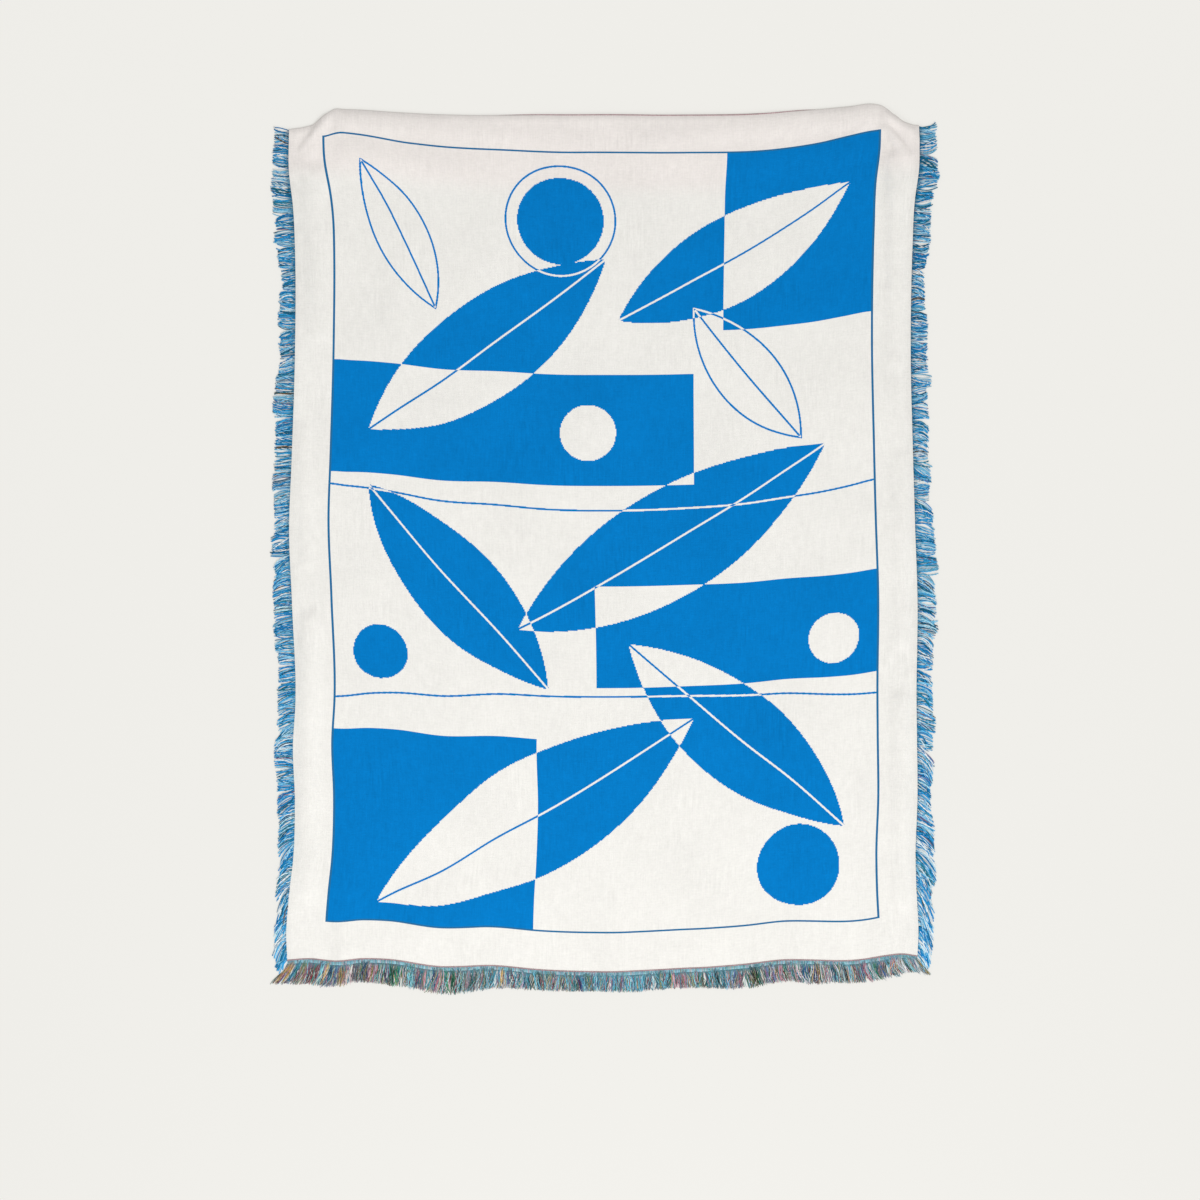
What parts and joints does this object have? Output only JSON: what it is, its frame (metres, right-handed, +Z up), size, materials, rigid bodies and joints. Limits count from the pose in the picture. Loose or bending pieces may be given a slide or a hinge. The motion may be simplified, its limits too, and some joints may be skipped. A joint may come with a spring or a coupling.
{
  "type": "throw blanket",
  "caption": "Woven cotton throw laid flat and face up, its top hem turned under, with a fringe along every edge.",
  "frame": {"origin": "middle of the throw's outline on the surface that it lies on", "axes": "+X to the right across the throw as its face is seen, +Y from the bottom hem to the top fold, +Z up out of the face"},
  "size_m": [1.382, 1.8354, 0.0117],
  "materials": {
    "woven_cotton": "matt jacquard weave, off-white with mid-blue shapes, in slubby cotton yarn",
    "side_yarn": "matt twisted cotton weft yarns, mostly blue with white and dark strands",
    "warp_yarn": "matt cotton warp yarns in many colours, under a teal heading line"
  },
  "bodies": {
    "root": {"throw_cloth": "woven_cotton", "fringe_left": "side_yarn", "fringe_right": "side_yarn", "fringe_bottom": "warp_yarn", "fringe_top": "warp_yarn"}
  },
  "joints": []
}
